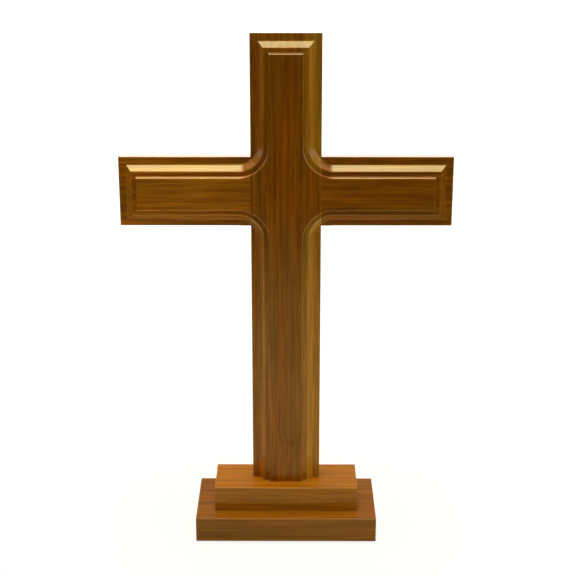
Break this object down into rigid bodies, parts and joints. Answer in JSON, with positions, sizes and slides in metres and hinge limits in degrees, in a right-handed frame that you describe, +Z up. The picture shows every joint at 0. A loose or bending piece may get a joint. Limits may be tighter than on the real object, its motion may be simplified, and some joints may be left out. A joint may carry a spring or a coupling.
{
  "type": "standing cross",
  "caption": "Standing wooden cross with a routed moulding round its raised field, halved at the crossing and fixed on a two-step base with felt pads under it.",
  "frame": {"origin": "on the surface that the cross stands on, under the middle of its base: the plane of the felt pads' undersides, on the upright's centre line", "axes": "+Z up along the upright, +X along the crossbar to the right seen from the front, -Y towards the viewer in front of the moulded face"},
  "size_m": [0.24, 0.068, 0.3792],
  "materials": {
    "cross_wood": "gloss varnish on close-grained red-brown hardwood, grain along each board",
    "base_wood": "gloss varnish on the same hardwood, grain along each step's width",
    "dowel_wood": "plain unvarnished beech",
    "screw_steel": "bright zinc plating",
    "pad_felt": "dense brown felt"
  },
  "bodies": {
    "root": {"upright": "cross_wood", "crossbar": "cross_wood", "upper_step": "base_wood", "lower_step": "base_wood", "foot_dowel_left": "dowel_wood", "foot_dowel_right": "dowel_wood", "post_screw": "screw_steel", "post_washer": "screw_steel", "step_screws": "screw_steel", "felt_pad_front_left": "pad_felt", "felt_pad_front_right": "pad_felt", "felt_pad_rear_left": "pad_felt", "felt_pad_rear_right": "pad_felt"}
  },
  "joints": []
}
